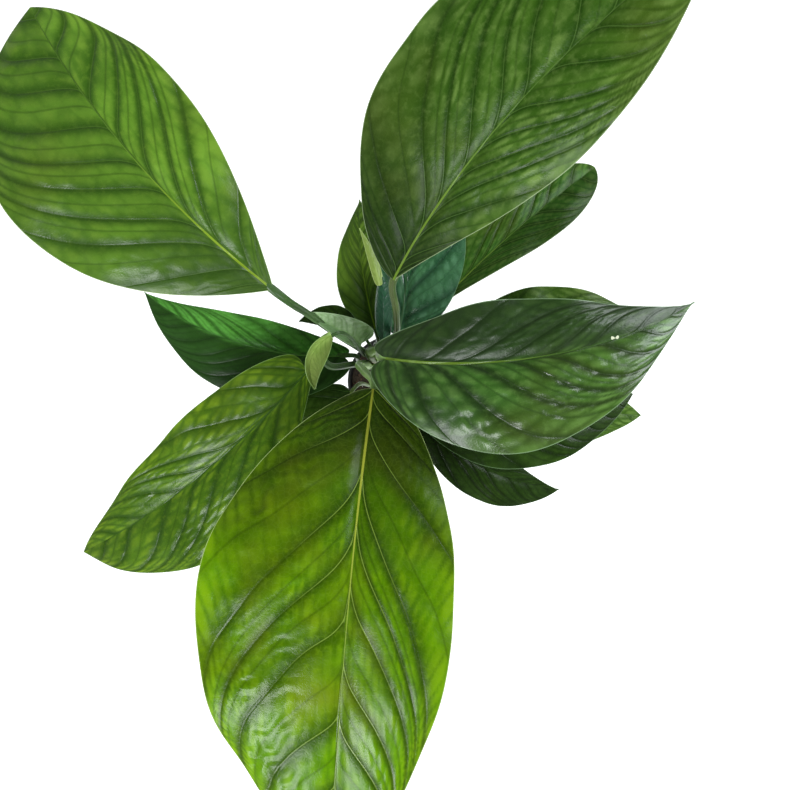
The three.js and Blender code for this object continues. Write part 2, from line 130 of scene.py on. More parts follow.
# heading and pitch run from the base of a blade to its tip. Other pairs hold its left and its right half,
# and one number in their place serves both.
# foot: the stem, the height on it, the side of it and the petiole's width. via: where the petiole passes.
# scars: the place along the blade and across it, and the size.
LEAVES = {
    "leaf_front": dict(
        joint=(-12, -14, 462), length=280, half_widths=(61, 88), heading=(-97, -92), pitch=(25, -8), curl=-25,
        fullness=(0.66, 0.9), taper=(0.75, 1.05), wave=2.5, foot=("main", 318, -125, 6),
        via=((-26, 5, 395), (-19, -2, 435)), grid=LARGE, look="fresh", laterals=(7.5, 6), between=0.3,
        sweep=(0.42, 0.34), quilt=0.7, blister=(0.5, 0.3), ripple=(0.1, 0.65), run_up=0.8,
    ),
    "leaf_upper_right": dict(
        joint=(1, 63, 430), length=242, half_widths=(75, 46), heading=(58, 27), pitch=(42, 22), fold=(9, 10),
        fullness=(0.83, 1.2), taper=(1, 0.88), lobe=3, wave=2.5, foot=("main", 296, 52, 5.5),
        via=((-4, 28, 335), (3, 31, 362), (3, 47, 398)), grid=LARGE, look="middle", laterals=9, between=0.4,
        sweep=(0.4, 0.36), blister=(0.3, 0.55), cell=12, run_up=0.8,
    ),
    "leaf_upper_left": dict(
        joint=(-79, 52, 450), length=221, half_widths=(80, 50), heading=(143, 118), pitch=(22, -5),
        fold=(11, 10), fullness=(1.1, 1), taper=(0.9, 0.8), lobe=1, wave=2.5, foot=("main", 300, 152, 6),
        via=((-47, 33, 362), (-64, 43, 410)), grid=LARGE, look="light", laterals=(8.5, 7), between=0.15,
        sweep=(0.3, 0.4), quilt=0.8, blister=0.5, cell=12, ripple=(0.25, 0.1),
    ),
    "leaf_right": dict(
        joint=(-3.5, 3.5, 490), length=188, half_widths=(34, 51), heading=(-10, 30), pitch=(26, -20),
        fold=(9, 12), fullness=(0.85, 0.88), taper=(1.4, 1.5), lobe=15, wave=3, foot=("main", 320, -48, 5.5),
        via=((-8, 16, 400), (-5, 14, 460)), grid=LARGE, look="deep", laterals=(7, 7.5), quilt=0.55,
        blister=(0.9, 1.2), cell=10, ripple=(0.35, 0.45), scars=((0.69, 0.04, 1.7), (0.705, 0.02, 1.3)),
        run_up=0.8,
    ),
    "leaf_lower_left": dict(
        joint=(-65, 1, 395), length=245, half_widths=(58, 42), heading=(230, 206), pitch=(6, -19),
        fold=(15, 12), fullness=(1.15, 0.49), taper=(1, 0.87), lobe=9, wave=2.5, foot=("main", 286, 200, 6),
        via=((-37, 8, 345), (-50, 5, 378)), grid=LARGE, look="mottled", laterals=7, quilt=0.6, blister=0.8,
        cell=10,
    ),
    "leaf_left": dict(
        joint=(-44, 17, 330), length=201, half_widths=(46, 27), heading=(183, 141), pitch=(0, -10), fold=10,
        fullness=(0.7, 0.8), taper=(1.1, 1.2), lobe=12, foot=("main", 200, 190, 4.5), via=((-33, 13, 285),),
        look="blue",
    ),
    "leaf_back": dict(
        joint=(-16, 42, 312), length=132, half_widths=(25, 26), heading=(106, 88), pitch=(18, -30),
        fullness=(0.77, 0.9), taper=(1.5, 1.1), wave=1.5, foot=("main", 218, 98, 4), via=((-15, 34, 280),),
        look="light",
    ),
    "leaf_back_right": dict(
        joint=(33, 55, 330), length=200, half_widths=(30, 27), heading=(46, 37), pitch=(10, -12),
        fullness=(0.6, 1.4), taper=0.6, wave=1.5, foot=("second", 205, 72, 4.5), via=((29, 40, 290),),
        look="turned",
    ),
    "leaf_centre_back": dict(
        joint=(6, 36, 330), length=188, half_widths=(27, 48), heading=(82, 85), pitch=(15, -20),
        foot=("second", 226, 125, 4.5), via=((9, 26, 295),), look="cool", quilt=0.6, blister=0.5,
    ),
    "leaf_right_lower": dict(
        joint=(7, 1, 390), length=192, half_widths=(42, 62), heading=(-13, 2), pitch=(10, -20),
        fullness=(0.6, 0.75), lobe=6, foot=("second", 222, 200, 5), via=((9, 5, 310),),
    ),
    "leaf_lower_right": dict(
        joint=(8, -27, 330), length=186, half_widths=(23, 31), heading=(-46, -10), pitch=(-3, -26),
        fold=(13, 8), fullness=(0.8, 1.3), taper=(1.35, 1.05), wave=1.5, foot=("second", 190, -105, 4.5),
        via=((12, -14, 270),),
    ),
    "leaf_far_right": dict(
        joint=(45, -15, 300), length=208, half_widths=(40, 44), heading=(-8, -5), pitch=(5, -20), lobe=6,
        foot=("second", 172, -42, 4.5), via=((34, -7, 245),), look="middle",
    ),
    "leaf_right_back": dict(
        joint=(70, 31, 310), length=180, half_widths=(43, 40), heading=(9, -3), pitch=(10, -15), lobe=6,
        foot=("second", 188, 18, 4.5), via=((46, 20, 265),), look="middle",
    ),
    "leaf_small_left": dict(
        joint=(-31, 37, 348), length=52, half_widths=(3, 17), heading=(162, 178), pitch=(4, -16), lobe=0,
        wave=0.8, foot=("main", 296, 106, 3), via=((-27, 37, 322),), grid=SMALL, blister=0.2,
    ),
    "leaf_under_front": dict(
        joint=(-40, -15, 290), length=150, half_widths=(38, 40), heading=(232, 225), pitch=(5, -20), wave=1.5,
        foot=("main", 165, -95, 4), via=((-22, -8, 240),), look="middle",
    ),
    "young_leaf": dict(
        joint=(-7, 25, 372), length=52, half_widths=10.5, heading=(90, 92), pitch=(20, 12), fold=-15,
        curl=-60, fullness=0.35, taper=0.5, foot=("main", 330, 70, 3.5), via=((-12, 26, 350),), look="young",
        **BARE,
    ),
    "curled_sheath": dict(
        joint=(-44, 25, 418), length=46, half_widths=(15, 7), heading=(205, 300), pitch=(5, -14),
        fold=(20, 50), curl=35, taper=0.9, foot=("main", 334, 180, 3), look="sheath", **BARE,
    ),
}

# The material slots of the leaves with a look of their own
SLOTS = {"fresh": "fresh_leaf", "young": "young_leaf", "sheath": "sheath"}

# Small blades that grow with a leaf: the sheath's pale wing and the flap the young leaf unrolls into
WINGS = {
    "petiole_wing": ("leaf_upper_left", dict(
        joint=(-27, 27, 342), length=75, half_widths=(7, 20), heading=(154, 158), pitch=(57, 57),
        fold=(10, 35), curl=20, fullness=0.3, taper=0.8, look="wing", **BARE,
    )),
    "young_flap": ("young_leaf", dict(
        joint=(-10, 68, 386), length=46, half_widths=4.5, heading=(102, 118), pitch=(14, 10), fold=-10,
        curl=-30, fullness=0.3, taper=0.9, look="flap", **BARE,
    )),
}

# Palettes: deep shade, dark and light tissue, the tops of the blisters (partly painted highlight), side veins,
# midrib, rim (a painted highlight along the edge), underside and olive patches. Then how plainly blisters
# (spots), olive patches (warm) and the bright margin, painted light through the thin edge, show, how pale the
# side veins (line) and how dark the painted shade in their creases (groove) is, how far the base and the left
# and right half sink into the deep shade, and how strongly the skin reflects (gloss).
PLAIN_LOOK = dict(spots=0.1, warm=0.2, glow=0.2, line=0, groove=0, base=0, halves=(0, 0), gloss=0.2)
LOOKS = {
    "fresh": dict(
        deep=(26, 44, 2), dark=(46, 78, 0), light=(86, 134, 0), top=(118, 158, 10), vein=(124, 150, 60),
        midrib=(146, 152, 50), rim=(164, 184, 116), under=(112, 146, 60), olive=(112, 122, 14),
        spots=0.4, warm=0.6, glow=0.6, line=0.65, groove=0.35, base=0.95, halves=(0.1, 0), gloss=0.14,
    ),
    "light": dict(
        deep=(40, 64, 16), dark=(48, 82, 18), light=(100, 142, 42), top=(118, 152, 50), vein=(84, 118, 44),
        midrib=(118, 144, 34), rim=(146, 166, 112), under=(116, 148, 82), olive=(104, 120, 40),
        spots=0.35, warm=0.4, line=0.3, groove=0.5, base=0.5, halves=(0.35, 0), gloss=0.22,
    ),
    "middle": dict(
        deep=(14, 30, 6), dark=(38, 68, 14), light=(66, 100, 30), top=(122, 150, 76), vein=(84, 116, 52),
        midrib=(104, 132, 46), rim=(152, 170, 128), under=(108, 138, 76), olive=(84, 96, 34),
        spots=0.32, warm=0.35, glow=0.25, line=0.4, groove=0.3, base=0.9, gloss=0.08,
    ),
    "mottled": dict(
        deep=(32, 58, 10), dark=(48, 80, 14), light=(80, 116, 24), top=(124, 154, 34), vein=(52, 84, 26),
        midrib=(52, 82, 26), rim=(112, 142, 84), under=(112, 142, 76), olive=(98, 112, 30),
        spots=0.5, warm=0.4, glow=0.25, line=0.1, groove=0.35, base=0.3, halves=(0, 0.1), gloss=0.17,
    ),
    "deep": dict(
        deep=(22, 40, 12), dark=(28, 52, 14), light=(64, 106, 38), top=(108, 146, 72), vein=(50, 80, 28),
        midrib=(88, 114, 32), rim=(116, 142, 104), under=(98, 128, 74), olive=(70, 84, 24),
        spots=0.42, warm=0.35, line=0.1, groove=0.4, base=0.5, halves=(0.75, 0), gloss=0.3,
    ),
    "blue": dict(
        deep=(22, 46, 10), dark=(48, 98, 28), light=(86, 152, 60), top=(98, 164, 74), vein=(42, 80, 32),
        midrib=(80, 122, 56), rim=(110, 144, 98), under=(100, 134, 80), olive=(70, 110, 50),
        spots=0.3, line=0.1, groove=0.3, base=0.2, halves=(0.85, 0), gloss=0.28,
    ),
    # Here the pale blister tops also paint the blisters' highlights.
    "cool": dict(
        deep=(22, 52, 34), dark=(36, 78, 50), light=(72, 124, 80), top=(104, 154, 118), vein=(26, 54, 34),
        midrib=(52, 88, 50), rim=(104, 140, 98), under=(96, 130, 82), olive=(44, 80, 40),
        spots=0.5, glow=0.1, line=0.1, groove=0.35, base=0.2, gloss=0.5,
    ),
    "dark": dict(
        deep=(14, 26, 4), dark=(22, 40, 8), light=(36, 58, 16), top=(50, 76, 24), vein=(42, 66, 24),
        midrib=(54, 82, 30), rim=(100, 126, 88), under=(92, 120, 68), olive=(44, 56, 20),
        spots=0.3, glow=0.1, line=0.1, groove=0.4, base=0.4, gloss=0.14,
    ),
    "young": dict(
        deep=(18, 44, 28), dark=(26, 62, 42), light=(36, 76, 52), top=(50, 92, 62), vein=(30, 64, 44),
        midrib=(40, 80, 54), rim=(110, 144, 98), under=(84, 120, 76), olive=(36, 66, 48),
        warm=0, glow=0, gloss=0.28,
    ),
    "flap": dict(
        deep=(88, 108, 44), dark=(108, 128, 58), light=(124, 144, 70), top=(140, 160, 88),
        vein=(108, 130, 60), midrib=(134, 154, 82), rim=(160, 178, 112), under=(120, 142, 76),
        olive=(128, 132, 74),
        glow=0,
    ),
    "wing": dict(
        deep=(74, 108, 58), dark=(112, 146, 88), light=(142, 178, 118), top=(190, 212, 180),
        vein=(98, 132, 78), midrib=(132, 164, 108), rim=(172, 196, 156), under=(122, 156, 96),
        olive=(150, 170, 120),
        glow=0.3, halves=(0.6, 0), gloss=0.22,
    ),
    "sheath": dict(
        deep=(84, 104, 42), dark=(112, 138, 64), light=(132, 156, 78), top=(150, 172, 98), vein=(92, 112, 46),
        midrib=(116, 140, 66), rim=(152, 188, 112), under=(128, 166, 88), olive=(130, 132, 76),
        warm=0.5,
    ),
}
# The same tissue with its right half in the shade
LOOKS["turned"] = {**LOOKS["middle"], "light": (66, 118, 40), "base": 0.3, "halves": (0, 0.45), "spots": 0.2}

SCAR = (196, 200, 172)

# Petioles: dark and light skin, and the channel along the upper side, darker as painted shade in its groove.
# The fresh stalk's pale skin is partly its own pale green and partly painted highlight.
PLAIN_SKIN = ((40, 68, 30), (70, 102, 48), (48, 74, 34))
PETIOLES = {
    "fresh": ((120, 160, 76), (160, 196, 116), (58, 92, 34)),
    "middle": ((62, 86, 42), (98, 120, 62), (76, 84, 46)),
    "deep": ((98, 134, 62), (138, 170, 94), (96, 128, 62)),
}
PETIOLE_GLOSS = 0.3

# Soil: how far from the middle its loose bits lie
CRUMB_SPREAD = 54

# Light: the room's strength at the sides and overhead, the pale floor's own light, and each lamp's place,
# size in metres, power and colour
SIDE_LIGHT = 0.35
TOP_LIGHT = 0.08
FLOOR_GLOW = 0.5
LAMP_AIM = (0, 0, 0.4)
LAMPS = (
    ("window", (-0.45, -1.1, 1.75), (0.8, 0.7), 40, (0.96, 0.98, 1)),
    ("low_window", (1.35, 0.45, 1.4), (0.9, 0.7), 24, (0.92, 0.97, 1)),
)
FLOOR_HALF_WIDTH = 3000
FLOOR_DROP = 0.5

# Camera: straight above the pot, in metres, with a phone's lens
CAMERA_PLACE = (0.002, -0.018, 0.8)
LENS = 24
SENSOR_WIDTH = 36


def smooth(low, high, value):
    t = np.clip((value - low) / (high - low), 0, 1)
    return t * t * (3 - 2 * t)


def mix(pair, share):
    return pair[0] + (pair[1] - pair[0]) * share


def bell(distance, width):
    """1 where the distance is 0, falling off over about the width."""
    return np.exp(-((distance / width) ** 2))


# Blades


def outline(u, fullness, taper):
    """The width of one half of a blade at u, as a share of its widest."""
    widest = fullness / (fullness + taper)
    peak = widest**fullness * (1 - widest) ** taper
    return u**fullness * np.clip(1 - u, 0, 1) ** taper / peak


def directions(leaf, u):
    """Unit vectors along the midrib, to its left and up out of the blade's face."""
    heading = np.radians(mix(leaf["heading"], u))
    pitch = np.radians(mix(leaf["pitch"], u))
    level = np.cos(pitch)
    along = np.stack([level * np.cos(heading), level * np.sin(heading), np.sin(pitch)], -1)
    left = np.stack([-np.sin(heading), np.cos(heading), 0 * heading], -1)
    return along, left, np.cross(along, left)


def midrib_points(leaf, u):
    steps = 40
    shares = (np.arange(steps) + 0.5) / steps
    along = directions(leaf, np.multiply.outer(u, shares))[0]
    return np.array(leaf["joint"]) + along.sum(-2) * (leaf["length"] * u / steps)[..., None]


def row_places(rows):
    """Places along a blade, closer together near its base and tip."""
    share = np.arange(rows + 1) / rows
    return (share + (1 - np.cos(np.pi * share)) / 2) / 2


def halves(pair, across):
    """The pair's value for the left or the right half of a blade. One number serves both."""
    left, right = np.broadcast_to(pair, 2)
    return np.where(across >= 0, left, right)


def blade_face(leaf, u, across):
    """The smooth upper face: its points, its face directions and its half widths."""
    sign = np.where(across >= 0, 1, -1)
    t = np.abs(across)
    share = outline(u, halves(leaf["fullness"], across), halves(leaf["taper"], across))
    least = mix((BASE_HALF_WIDTH, TIP_HALF_WIDTH), u)
    width = np.maximum(halves(leaf["half_widths"], across) * share, least)
    fold = np.radians(halves(leaf["fold"], across))
    curl = math.radians(leaf["curl"])
    angle = fold + curl * t
    outward = width * (np.sin(angle) - np.sin(fold)) / curl
    rise = width * (np.cos(fold) - np.cos(angle)) / curl
    wave = leaf["wave"] * share * t * t * np.sin(2 * np.pi * EDGE_WAVES * u + sign * EDGE_WAVE_LAG)
    lobe = leaf["lobe"] * LOBE_GAIN * (np.exp(-LOBE_DECAY * u) - np.exp(-LOBE_ONSET * u))
    back = lobe * t * t * (3 - 2 * t)
    along, left, up = directions(leaf, u)
    points = midrib_points(leaf, u) + left * (sign * outward)[..., None]
    points = points + up * (rise + wave)[..., None] - along * back[..., None]
    normal = up * np.cos(angle)[..., None] - left * (sign * np.sin(angle))[..., None]
    return points, normal, width


def lateral_starts(leaf, u, across):
    """Where on the midrib the side vein through each point starts."""
    t = np.abs(across)
    reach = halves(leaf["sweep"], across) * (t + 0.12 * (1 - np.exp(-t / 0.05))) + 0.08 * t**4

    def spread(start):
        return (0.35 + 0.65 * smooth(0, 0.2, start)) * np.minimum(1, 1.3 * (1 - start))

    low = np.full(u.shape, -1.0)
    high = np.ones(u.shape)
    for _ in range(24):
        middle = (low + high) / 2
        below = middle + reach * spread(middle) < u
        low = np.where(below, middle, low)
        high = np.where(below, high, middle)
    return low


def vein_count(leaf, seed, start, across, points):
    """A number that rises by one from each side vein to the next, unevenly as they grow."""
    crowded = start + 0.1 * (1 - np.exp(-np.maximum(start, 0) / 0.1)) + np.minimum(start, 0)
    count = halves(leaf["laterals"], across) * crowded + np.where(across >= 0, 0.0, 0.45)
    drift = 0.1 * np.sin(2.3 * count + seed) * smooth(0, 0.1, start)
    return count + drift + 0.03 * waves(points, seed + 5, 60) + 20


def field_pitch(points, count):
    """Millimetres between one whole count and the next, over a grid of points."""
    steps = [np.maximum(np.linalg.norm(np.gradient(points, axis=axis), axis=-1), 1e-3) for axis in (0, 1)]
    slope = np.hypot(np.gradient(count, axis=0) / steps[0], np.gradient(count, axis=1) / steps[1])
    return 1 / np.maximum(slope, 0.02)


def domes(x, y, seed):
    """Rounded cells round scattered centres, 0 where two cells meet and 1 well inside them."""
    table = np.random.default_rng(seed).uniform(-1, 1, (2, 64, 64))
    column = np.floor(x).astype(int)
    row = np.floor(y).astype(int)
    nearest = np.full(x.shape, 9.0)
    second = np.full(x.shape, 9.0)
    for i in (-1, 0, 1):
        for j in (-2, -1, 0, 1, 2):
            p, q = (column + i) % 64, (row + j) % 64
            dx = column + i + 0.5 + 0.2 * table[0, p, q] - x
            dy = row + j + 0.5 + 0.42 * table[1, p, q] + 0.5 * ((column + i) % 2) - y
            distance = np.hypot(1.25 * dx, dy)
            second = np.minimum(second, np.maximum(nearest, distance))
            nearest = np.minimum(nearest, distance)
    return smooth(0, 0.9, second - nearest)


def waves(points, seed, size):
    """Gentle seeded unevenness, about -1 to 1, over lengths of about size."""
    draw = np.random.default_rng(seed)
    total = 0
    for _ in range(5):
        axis = draw.normal(size=3)
        axis /= np.linalg.norm(axis)
        total = total + np.sin(points @ axis * 2 * np.pi / size + draw.uniform(0, 6.28))
        size *= 0.83
    return total / 2.5


def relief(leaf, seed, u, across, width, points):
    """Heights over the smooth face, and the fields that the shader draws veins from."""
    t = np.abs(across)
    from_midrib = t * width
    edge = width * (1 - t)
    start = lateral_starts(leaf, u, across)
    count = vein_count(leaf, seed, start, across, points)
    pitch = field_pitch(points, count)
    part = count - np.floor(count)
    off_vein = np.minimum(part, 1 - part)
    reach = np.hypot(from_midrib, (u - start) * leaf["length"])
    cells = domes(count * leaf["columns"], reach / leaf["cell"] + 3 * start, seed)

    arch = 1 - (1 - 2 * off_vein) ** 2
    crease = bell(off_vein * pitch, CREASE_WIDTH)
    between = bell((0.5 - off_vein) * pitch, BETWEEN_WIDTH)
    swell = 1 + 0.3 * waves(points, seed + 9, 70)
    quilt = leaf["quilt"] * (swell * arch - 0.6 - 0.25 * crease - leaf["between"] * between)

    patches = 0.7 + 0.3 * waves(points, seed + 7, 80) + 0.3 * waves(points, seed + 8, 24)
    strength = np.clip(patches, 0, 1.3) * (0.35 + 0.65 * smooth(0.15, 0.6, t))
    jitter = 0.3 * waves(points, seed + 4, 50) + 0.3 * waves(points, seed + 6, 16)
    steps = (RIPPLE_CROSS * count + RIPPLE_ALONG * reach) / leaf["cell"] + jitter
    ripple = halves(leaf["ripple"], across) * np.sin(2 * np.pi * steps) * arch
    blister = halves(leaf["blister"], across) * cells

    size = smooth(6, 34, width)
    body = size * smooth(0, 8, from_midrib) * smooth(0, 5, edge) * (0.35 + 0.65 * smooth(0, 16, edge))
    valley = VALLEY_DEPTH * bell(from_midrib, VALLEY_WIDTH) * size * (1 - 0.6 * u)
    rib = bell(from_midrib, mix(RIB_WIDTH, u)) * np.clip(1 - 1.3 * u, 0, 1) * smooth(0, 12, width)
    uneven = 0.5 * waves(points, seed + 3, 60) * size * smooth(0, 10, from_midrib)
    fields = {"count": count, "pitch": pitch, "cells": cells, "off_vein": off_vein}
    return (quilt + (blister + ripple) * strength) * body - valley + rib + uneven, fields


def scar_field(leaf, u, across, width):
    """1 on each small healed tear of the tissue, falling to 0 round it."""
    scar = np.zeros(u.shape)
    for place, side, size in leaf["scars"]:
        away = np.hypot((u - place) * leaf["length"], (across - side) * width)
        scar = np.maximum(scar, bell(away, size))
    return scar


# Meshes


def grid_faces(rows, columns, first, wrap=False, flip=False):
    row, column = np.meshgrid(np.arange(rows - 1), np.arange(columns if wrap else columns - 1), indexing="ij")
    beside = (column + 1) % columns
    here, after = row * columns, (row + 1) * columns
    corners = [here + column, after + column, after + beside, here + beside]
    faces = first + np.stack([c.ravel() for c in corners], -1)
    return faces[:, ::-1] if flip else faces


def add_object(name, data):
    thing = bpy.data.objects.new(name, data)
    bpy.context.scene.collection.objects.link(thing)
    return thing


def make_mesh(name, points, faces, material=None, uvs=None, fields=None, sharp=None):
    """A mesh object from points in millimetres and groups of faces of one size; uvs are per point."""
    mesh = bpy.data.meshes.new(name)
    corners = np.concatenate([np.asarray(face, np.int32).ravel() for face in faces])
    sizes = np.concatenate([np.full(len(face), len(face[0]), np.int32) for face in faces])
    mesh.vertices.add(len(points))
    mesh.loops.add(len(corners))
    mesh.polygons.add(len(sizes))
    mesh.vertices.foreach_set("co", (np.asarray(points) * MM).astype(np.float32).ravel())
    mesh.loops.foreach_set("vertex_index", corners)
    mesh.polygons.foreach_set("loop_start", np.concatenate([[0], np.cumsum(sizes)[:-1]]).astype(np.int32))
    mesh.update(calc_edges=True)
    for key, values in (fields or {}).items():
        layer = mesh.attributes.new(key, "FLOAT", "POINT")
        layer.data.foreach_set("value", np.asarray(values, np.float32).ravel())
    if uvs is not None:
        layer = mesh.uv_layers.new(name="OFBake")
        index = np.zeros(len(mesh.loops), int)
        mesh.loops.foreach_get("vertex_index", index)
        layer.data.foreach_set("uv", np.asarray(uvs, np.float32)[index].ravel())
    mesh.polygons.foreach_set("use_smooth", np.ones(len(mesh.polygons), bool))
    if sharp is not None:
        mesh.set_sharp_from_angle(angle=math.radians(sharp))
    if material is not None:
        mesh.materials.append(material)
    mesh.update()
    return add_object(name, mesh)


def rim_loop(rows, columns):
    """The grid's outer points in order, once round."""
    top = list(range(columns - 1))
    right = [row * columns + columns - 1 for row in range(rows - 1)]
    bottom = [(rows - 1) * columns + column for column in range(columns - 1, 0, -1)]
    left = [row * columns for row in range(rows - 1, 0, -1)]
    return np.array(top + right + bottom + left)


def blade_piece(name, leaf, seed, material):
    rows, columns = leaf["grid"]
    places = row_places(rows)[:, None]
    spread = np.linspace(-1, 1, columns + 1)
    spread = np.sign(spread) * (0.75 * np.abs(spread) + 0.25 * np.abs(spread) ** 2)
    u, across = np.broadcast_arrays(places, spread[None, :])
    face, normal, width = blade_face(leaf, u, across)
    height, fields = relief(leaf, seed, u, across, width, face)
    t = np.abs(across)
    edge = width * (1 - t)
    top = face + normal * height[..., None]
    thickness = mix((RIM_THICKNESS, BLADE_THICKNESS), smooth(0, RIM_REACH, edge))
    keel = mix(KEEL_DEPTH, u) * np.sqrt(np.clip(1 - (t * width / mix(KEEL_WIDTH, u)) ** 2, 0, 1))
    to_vein = fields["off_vein"] * fields["pitch"]
    under_veins = UNDER_VEIN_HEIGHT * bell(to_vein, UNDER_VEIN_WIDTH) * smooth(0, 10, edge)
    bottom = top - normal * (thickness + keel + under_veins)[..., None]

    r, c = u.shape
    count = r * c
    points = np.concatenate([top.reshape(-1, 3), bottom.reshape(-1, 3)])
    rim = rim_loop(r, c)
    after = np.roll(rim, -1)
    wall = np.stack([rim, after, after + count, rim + count], -1)
    upper = grid_faces(r, c, 0)
    lower = grid_faces(r, c, count, flip=True)

    def sheet(left):
        return np.stack([left + 0.47 * (across + 1) / 2, 0.02 + 0.96 * u], -1).reshape(-1, 2)

    uvs = np.concatenate([sheet(0.01), sheet(0.52)])
    del fields["off_vein"]
    fields |= {"u": u, "across": across, "from_midrib": t * width, "edge": edge}
    fields["scar"] = scar_field(leaf, u, across, width)
    fields = {key: np.tile(values.ravel(), 2) for key, values in fields.items()}
    fields["under"] = np.repeat([0.0, 1.0], count)
    return make_mesh(name, points, [upper, lower, wall], material, uvs, fields, sharp=60)


# Petioles and stems


def smooth_curve(points, count):
    """Points along the centripetal spline through the given ones, as the solids' bars follow it."""
    p = np.asarray(points, float)
    p = np.vstack([2 * p[0] - p[1], p, 2 * p[-1] - p[-2]])
    spans = len(p) - 3
    out = []
    for place in np.linspace(0, spans, count):
        i = min(int(place), spans - 1)
        t = place - i
        a, b, c, d = p[i : i + 4]
        before, here, after = (max(np.linalg.norm(y - x) ** 0.5, 1e-4) for x, y in ((a, b), (b, c), (c, d)))
        start = ((b - a) / before - (c - a) / (before + here) + (c - b) / here) * here
        end = ((c - b) / here - (d - b) / (here + after) + (d - c) / after) * here
        out.append(
            b + start * t
            + (3 * (c - b) - 2 * start - end) * t**2
            + (2 * (b - c) + start + end) * t**3
        )
    return np.array(out)


def stem_point(stem, height):
    line = stem["line"]
    return np.array([np.interp(height, line[:, 2], line[:, axis]) for axis in range(3)])


def tube_piece(name, path, facing, radius, groove, sides, material, **along):
    """A closed tube round a path. facing is each ring's grooved side; along holds more fields of the rings."""
    tangent = np.gradient(path, axis=0)
    tangent /= np.linalg.norm(tangent, axis=1)[:, None]
    front = facing - tangent * (facing * tangent).sum(1)[:, None]
    front /= np.linalg.norm(front, axis=1)[:, None]
    side = np.cross(tangent, front)
    angle = np.linspace(0, 2 * np.pi, sides, endpoint=False)
    away = (angle + np.pi) % (2 * np.pi) - np.pi
    channel = LIP_HEIGHT * bell(np.abs(away) - LIP_PLACE, LIP_WIDTH) - bell(away, CHANNEL_WIDTH)
    reach = radius[:, None] * (1 + groove[:, None] * channel)
    x, y = (reach * np.cos(angle))[..., None], (reach * np.sin(angle))[..., None]
    rings = path[:, None] + front[:, None] * x + side[:, None] * y

    rows = len(path)
    count = rows * sides
    last = count - sides
    here = np.arange(sides)
    beside = (here + 1) % sides
    foot = np.stack([np.full(sides, count), beside, here], -1)
    head = np.stack([np.full(sides, count + 1), last + here, last + beside], -1)
    points = np.concatenate([rings.reshape(-1, 3), path[:1], path[-1:]])
    faces = [grid_faces(rows, sides, 0, wrap=True, flip=True), foot, head]
    along["u"] = np.linspace(0, 1, rows)
    fields = {key: np.append(np.repeat(values, sides), values[[0, -1]]) for key, values in along.items()}
    fields["round"] = np.append(np.tile(np.cos(angle), rows), [0, 0])
    return make_mesh(name, points, faces, material, fields=fields)


def petiole_piece(name, leaf, material):
    """A stalk that clasps its stem with a wide foot, bends outward and ends under the blade's base."""
    stem_name, height, turn, width = leaf["foot"]
    stem = STEMS[stem_name]
    radius = width / 2
    turn = math.radians(turn)
    outward = np.array([math.cos(turn), math.sin(turn), 0])
    clear = stem["radius"] + radius + PETIOLE_CLEARANCE
    hug = [stem_point(stem, height + rise) + outward * clear for rise in STEM_HUG]
    root = stem_point(stem, height - NODE_DROP) + outward * stem["radius"] * 0.6
    base = np.array([0.0, PETIOLE_OVERLAP])
    along, _, up = directions(leaf, base)
    middle = midrib_points(leaf, base)
    neck = middle[0] - along[0] * leaf["run_up"] * width - up[0] * radius * 1.3
    end = middle[1] - up[1] * radius * PETIOLE_SINK
    path = smooth_curve([root, *hug, *leaf["via"], neck, end], PETIOLE_RINGS)
    share = np.linspace(0, 1, len(path))
    facing = -outward * (1 - share)[:, None] + up[0] * share[:, None]
    size = radius * (1 + 0.3 * bell(share, 0.16) + 0.12 * bell(share - 0.9, 0.05) - 0.12 * share)
    size = size * (0.55 + 0.45 * smooth(0, 0.04, share)) * (1 - 0.5 * smooth(0.95, 1, share))
    groove = 0.42 * smooth(0.03, 0.15, share) * (1 - smooth(0.86, 0.97, share))
    return tube_piece(name, path, facing, size, groove, PETIOLE_SIDES, material)


def stem_piece(name, stem, material):
    """A stem with a swollen ring at each petiole's foot and a bud at its top."""
    line = smooth_curve(stem["points"], STEM_RINGS)
    lean = np.array([math.sin(BUD_LEAN), 0, math.cos(BUD_LEAN)])
    up_bud = np.linspace(BUD_START, 1, BUD_RINGS)
    path = np.vstack([line, line[-1] + lean * up_bud[:, None] * stem["bud"]])
    nodes = [leaf["foot"][1] - NODE_DROP for leaf in LEAVES.values() if STEMS[leaf["foot"][0]] is stem]
    swell = np.minimum(sum(bell(line[:, 2] - z, 2.2) for z in nodes), 1)
    size = stem["radius"] * (1 - 0.08 * np.linspace(0, 1, STEM_RINGS) + 0.07 * swell)
    size[-1] *= 0.8
    plump = np.sqrt(np.clip(1 - up_bud**1.6, 0, 1)) * (0.85 + 0.25 * np.sin(np.pi * up_bud))
    radius = np.concatenate([size, stem["radius"] * 0.6 * plump + 0.05])
    facing = np.tile([1.0, 0.0, 0.0], (len(path), 1))
    ring = np.append(swell, np.zeros(BUD_RINGS))
    bud = np.repeat([0.0, 1.0], [STEM_RINGS, BUD_RINGS])
    no_groove = np.zeros(len(path))
    return tube_piece(name, path, facing, radius, no_groove, STEM_SIDES, material, ring=ring, bud=bud)


# Shader graphs


def srgb(red, green, blue):
    """A colour given as the eye reads it, 0 to 255, in the linear form that shaders take."""
    parts = [value / 255 for value in (red, green, blue)]
    linear = [p / 12.92 if p <= 0.04045 else ((p + 0.055) / 1.055) ** 2.4 for p in parts]
    return (*linear, 1.0)


